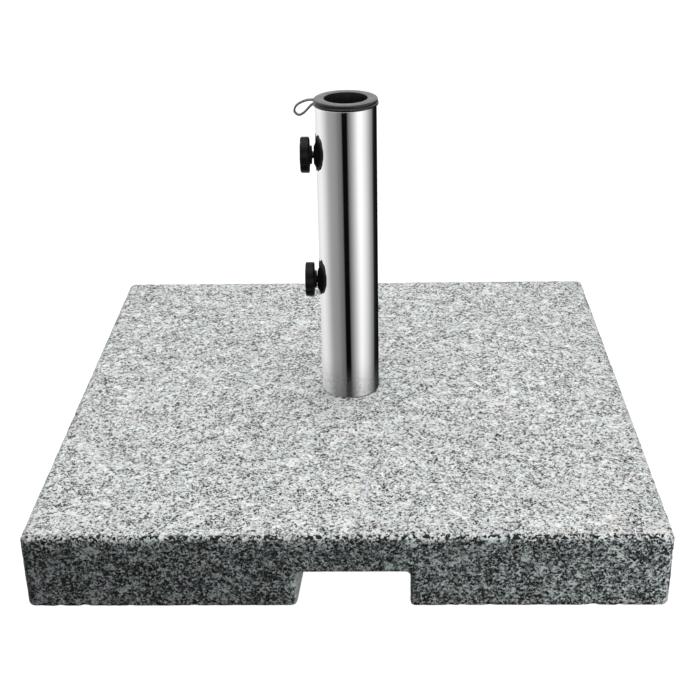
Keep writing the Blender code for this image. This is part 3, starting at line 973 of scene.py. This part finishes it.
def knob(place, plastic):
    """A round knob with shallow flutes, a dished face and a neck."""
    low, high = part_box(f"{place}_knob")
    height = screw_height(place)
    outer, neck_end = -low.x, -high.x
    radius = (high.z - low.z) / 2 - 0.0003
    neck_length, neck_r = 0.0019, 0.0070
    head_inner = neck_end + neck_length
    flutes, depth = 8, 0.0009

    def fluted(r, _height, angle):
        reach = min(max((r - radius * 0.62) / (radius * 0.38), 0.0), 1.0)
        groove = (0.5 + 0.5 * math.cos(flutes * (angle + math.pi / flutes))) ** 2.2
        return r - depth * groove * reach * reach * (3 - 2 * reach)

    outline = rounded([
        (0.0, outer - 0.0006), (0.0088, outer - 0.0006, 0.0010), (0.0096, outer, 0.0008),
        (radius, outer - 0.0002, 0.0013), (radius, head_inner + 0.0001, 0.0008),
        (neck_r + 0.0004, head_inner - 0.0001, 0.0005), (neck_r, neck_end, 0.0004),
        (0.0031, neck_end), (0.0031, neck_end + 0.0060), (0.0, neck_end + 0.0060),
    ], closed=False, steps=6)
    mesh = lathe(f"{place}_grip_knob", outline, 256, closed=False, warp=fluted)
    point_outwards(mesh, height)
    piece(f"{place}_grip_knob", mesh, plastic, f"{place}_thumbscrew", "black_plastic", f"{place}_knob")


STUD_R = 0.0030
STUD_PITCH = 0.001


def stud(place, steel, nylon):
    """The threaded stud, and the tip that it turns in."""
    low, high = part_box(f"{place}_stud")
    height = screw_height(place)
    outer, inner = -low.x, -high.x
    mesh = threaded(f"{place}_threaded_stud", STUD_R, STUD_PITCH, inner, outer, inner, outer + 0.01)
    point_outwards(mesh, height)
    piece(f"{place}_threaded_stud", mesh, steel, f"{place}_thumbscrew", "zinc_steel", f"{place}_stud")
    low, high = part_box(f"{place}_stud_tip")
    tip_r = (high.z - low.z) / 2
    outer, inner = -low.x, -high.x
    outline = rounded([(0.0, outer), (tip_r, outer), (tip_r, inner, 0.0005), (0.0, inner)], closed=False)
    mesh = point_outwards(lathe(f"{place}_nylon_tip", outline, 48, closed=False), height)
    piece(f"{place}_nylon_tip", mesh, nylon, f"{place}_tip", "nylon", f"{place}_stud_tip")


def rivet_nut(place, zinc):
    """A threaded insert upset on both sides of the tube's wall."""
    low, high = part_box(f"{place}_rivet_nut")
    height = screw_height(place)
    outer, inner = -low.x, -high.x
    tube_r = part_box("socket_tube")[1].x
    head_r, body_r, bore_r = 0.0057, 0.0045, 0.00325
    bulb_outer, bulb_inner = 0.0209, 0.0187
    outline = rounded([
        (head_r, outer, 0.0002), (head_r, tube_r + 0.0001, 0.0002), (body_r, tube_r + 0.0001),
        (body_r, bulb_outer), (head_r, (bulb_outer + bulb_inner) / 2, 0.0009), (body_r, bulb_inner),
        (body_r, inner, 0.0004), (bore_r, inner, 0.0003), (bore_r, outer, 0.0002),
    ])
    mesh = point_outwards(lathe(f"{place}_insert_nut", outline, 96), height)
    piece(f"{place}_insert_nut", mesh, zinc, "root", "zinc_steel", f"{place}_rivet_nut")


# ---------------------------------------------------------------- camera, floor and light

CAMERA_AT = (0.0250, -0.9506, 0.4932)       # from the middle of the slab's top face
CAMERA_DOWN = 25.763                        # in degrees, as the two below
CAMERA_LEFT = 1.615
CAMERA_ROLL = -1.10
LENS = 66.014
SENSOR = 36.0


def camera():
    data = bpy.data.cameras.new("camera")
    data.lens = LENS
    data.sensor_width = SENSOR
    data.clip_end = 50.0
    obj = bpy.data.objects.new("camera", data)
    bpy.context.scene.collection.objects.link(obj)
    slab_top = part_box("granite_slab")[1].z
    place = Matrix.Translation(Vector(CAMERA_AT) + Vector((0.0, 0.0, slab_top)))
    turn = Matrix.Rotation(math.radians(CAMERA_LEFT), 4, "Z")
    tilt = Matrix.Rotation(math.pi / 2 - math.radians(CAMERA_DOWN), 4, "X")
    roll = Matrix.Rotation(math.radians(CAMERA_ROLL), 4, "Z")
    obj.matrix_world = place @ turn @ tilt @ roll
    bpy.context.scene.camera = obj


def only_seen_by(obj, camera=False, glossy=False):
    obj.visible_camera = camera
    obj.visible_glossy = glossy
    obj.visible_diffuse = False
    obj.visible_shadow = False
    obj.visible_transmission = False
    obj.visible_volume_scatter = False


WHITE = (1.0, 1.0, 1.0, 1.0)
FLOOR_SIZE = 30.0
FLOOR_GREY = (0.12, 0.12, 0.12, 1.0)
FLOOR_GAP = 0.0002          # below the pads, so that the faces don't coincide


def floor():
    """A white floor that glows, so that the studio's shadow stays faint."""
    s = Shader("studio_floor")
    glow = s.add("Emission", {"Color": WHITE, "Strength": 1.0})
    matt = s.add("BsdfDiffuse", {"Color": FLOOR_GREY})
    material = s.surface(s.add("AddShader", {0: glow.outputs[0], 1: matt.outputs[0]}).outputs[0])
    bm = bmesh.new()
    bmesh.ops.create_grid(bm, x_segments=1, y_segments=1, size=FLOOR_SIZE)
    bmesh.ops.translate(bm, vec=(0.0, 0.0, -FLOOR_GAP), verts=bm.verts)
    obj = loose("studio_floor", mesh_of(bm, "studio_floor"))
    obj.data.materials.append(material)
    only_seen_by(obj, camera=True)


# What the polished tube sees round the studio: (degrees towards +X from the camera's side, brightness)
STUDIO_STRIPES = (
    (-180, 0.70), (-153, 0.80), (-128, 0.93), (-112, 0.92), (-98, 0.79), (-87, 0.65),
    (-76, 0.47), (-66, 0.37), (-57, 0.34), (-48, 0.31), (-39, 0.28), (-31, 0.21), (-23, 0.175),
    (-16.5, 0.12), (-13.5, 0.003), (3.5, 0.003), (7, 0.13), (17, 0.32), (25, 0.50), (33, 0.71),
    (41, 0.95), (50, 1.12), (60, 1.05), (68, 0.93), (78, 0.77), (89, 0.56), (100, 0.36),
    (112, 0.22), (119, 0.03), (128, 0.010), (150, 0.004), (180, 0.02),
)
UPPER_PANELS = (1.5, 1.5, 1.5)
UPPER_PANELS_FROM = 0.6     # metres up, where the stripes have faded into them
DRUM_RADIUS = 3.0
DRUM_TOP = 3.0
DRUM_BOTTOM = -5.0


def reflection_drum():
    """Upright white, grey and black panels all round and below, seen only in reflections."""
    s = Shader("studio_panels")
    x, y, z = s.axes(s.position())
    around = s.fit(s.math("ARCTAN2", x, s.product(y, -1.0)), -math.pi, math.pi)
    stripes = s.ramp(around, [((degrees + 180) / 360, value) for degrees, value in STUDIO_STRIPES])
    panels = s.mix(s.fit(z, 0.0, UPPER_PANELS_FROM), stripes, UPPER_PANELS)
    material = s.surface(s.add("Emission", {"Color": panels, "Strength": 1.0}).outputs[0])
    outline = [(DRUM_RADIUS, DRUM_TOP), (DRUM_RADIUS, DRUM_BOTTOM), (0.0, DRUM_BOTTOM)]
    mesh = lathe("studio_panels", [Vector(point) for point in outline], 96, closed=False)
    obj = loose("studio_panels", mesh)
    obj.data.materials.append(material)
    only_seen_by(obj, glossy=True)


def area_light(name, at, towards, size, watts, glossy=True):
    data = bpy.data.lights.new(name, "AREA")
    data.shape = "RECTANGLE"
    data.size, data.size_y = size
    data.energy = watts
    obj = bpy.data.objects.new(name, data)
    bpy.context.scene.collection.objects.link(obj)
    obj.location = at
    obj.rotation_euler = (Vector(towards) - Vector(at)).to_track_quat("-Z", "Y").to_euler()
    obj.visible_glossy = glossy
    obj.visible_camera = False


SOFTBOX_WATTS = 78.0
FILL_WATTS = 2.6


def lights():
    """A wide softbox above, and a small lamp that lifts the right half of the slab's front."""
    area_light("overhead_softbox", (0.0, 0.05, 2.4), (0.0, 0.0, 0.0), (2.4, 2.4), SOFTBOX_WATTS)
    area_light("right_fill", (0.68, -0.58, 0.06), (0.05, -0.2, 0.03), (0.30, 0.12), FILL_WATTS, glossy=False)


def studio():
    """A white surround that only the camera sees, the floor, the panels, the lamps and the camera."""
    scene = bpy.context.scene
    world = bpy.data.worlds.new("studio")
    scene.world = world
    world.use_nodes = True
    background = world.node_tree.nodes["Background"]
    background.inputs[0].default_value = WHITE
    background.inputs[1].default_value = 1.0
    world.cycles_visibility.diffuse = False
    world.cycles_visibility.glossy = False
    scene.view_settings.view_transform = "Standard"
    scene.view_settings.look = "None"
    floor()
    reflection_drum()
    lights()
    camera()


def main():
    stone = granite()
    rubber = moulded("black_rubber", (0.025, 0.025, 0.026), 0.75, 0.3, 0.0007, 0.00008)
    steel = polished_steel(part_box("socket_tube")[0].z)
    zinc = zinc_steel("zinc_steel", (0.60, 0.62, 0.65), (0.68, 0.66, 0.60))
    dark_steel = zinc_steel("oiled_steel", (0.16, 0.16, 0.16), (0.22, 0.20, 0.17))
    dark_plastic = moulded("rim_plastic", (0.011, 0.0112, 0.0118), 0.33, 0.38)
    black_plastic = moulded("knob_plastic", (0.006, 0.006, 0.0057), 0.45, 0.09)
    boss_plastic = moulded("boss_plastic", (0.006, 0.006, 0.0057), 0.36, 0.30)
    strap_plastic = moulded("strap_plastic", (0.15, 0.15, 0.155), 0.50)
    nylon = moulded("natural_nylon", (0.72, 0.70, 0.64), 0.5)

    granite_slab(stone)
    rubber_feet(rubber)
    tube_gasket(rubber)
    socket_tube(steel)
    anchor_fixing(zinc)
    tube_collar(dark_plastic)
    reducer_insert(dark_plastic)
    tether_strap(strap_plastic)
    for place in SCREWS:
        saddle_boss(place, boss_plastic)
        rivet_nut(place, zinc)
        knob(place, black_plastic)
        stud(place, dark_steel, nylon)
    studio()


main()
